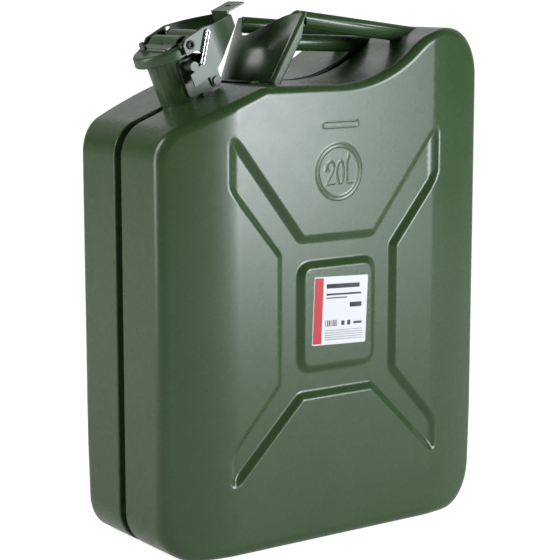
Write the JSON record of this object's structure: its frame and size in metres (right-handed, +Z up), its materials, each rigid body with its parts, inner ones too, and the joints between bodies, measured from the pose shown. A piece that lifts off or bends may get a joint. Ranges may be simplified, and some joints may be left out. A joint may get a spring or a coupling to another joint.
{
  "type": "fuel canister",
  "caption": "Pressed steel fuel canister with crossed panel channels, tilted neck, hinged cap with cam lever and locking pin, and tubular carrying handles.",
  "frame": {"origin": "centre of the bounding box at the base, on the resting face", "axes": "+Z up, +X towards the back of the can, -X the pouring end, +Y across the thickness"},
  "size_m": [0.345, 0.1653, 0.4721],
  "materials": {
    "body_paint": "satin olive green enamel",
    "fitting_paint": "satin olive green enamel over pressed fittings",
    "bare_steel": "zinc plated",
    "wire_steel": "bright drawn wire",
    "seal_rubber": "fuel-proof rubber",
    "label_paper": null
  },
  "bodies": {
    "can": {"near_shell": "body_paint", "far_shell": "body_paint", "seam_weld": "body_paint", "filler_neck": "body_paint", "neck_collar": "body_paint", "vent_tube": "bare_steel", "hinge_bracket": "fitting_paint", "hinge_pin": "bare_steel", "catch_studs": "bare_steel", "catch_rollers": "fitting_paint", "label": "label_paper", "front_bracket": "body_paint", "near_handle": "body_paint", "middle_handle": "body_paint", "far_handle": "body_paint"},
    "lid": {"lid_cap": "fitting_paint", "cap_gasket": "seal_rubber", "gasket_plate": "bare_steel", "lid_bridge": "fitting_paint", "cap_rivet": "bare_steel", "lid_arm_near": "fitting_paint", "lid_arm_far": "fitting_paint", "lever_pivots": "bare_steel", "front_tab": "fitting_paint"},
    "lever": {"lever": "fitting_paint"},
    "locking_pin": {"locking_pin": "wire_steel"}
  },
  "joints": [
    {"name": "lid_open", "type": "hinge", "parent": "can", "child": "lid", "pos_m": [-0.08722, 0, 0.40591], "axis": [0, 1, 0], "range_deg": [0, 68]},
    {"name": "lever_lift", "type": "hinge", "parent": "lid", "child": "lever", "pos_m": [-0.11935, 0, 0.43682], "axis": [0, 1, 0], "range_deg": [-108.8, 0]},
    {"name": "pin_slide", "type": "slide", "parent": "lever", "child": "locking_pin", "axis": [0, -1, 0], "range_m": [0, 0.008]}
  ],
  "couplings": [
    {"joint": "lever_lift", "follows": "lid_open", "ratio": -1.6}
  ]
}
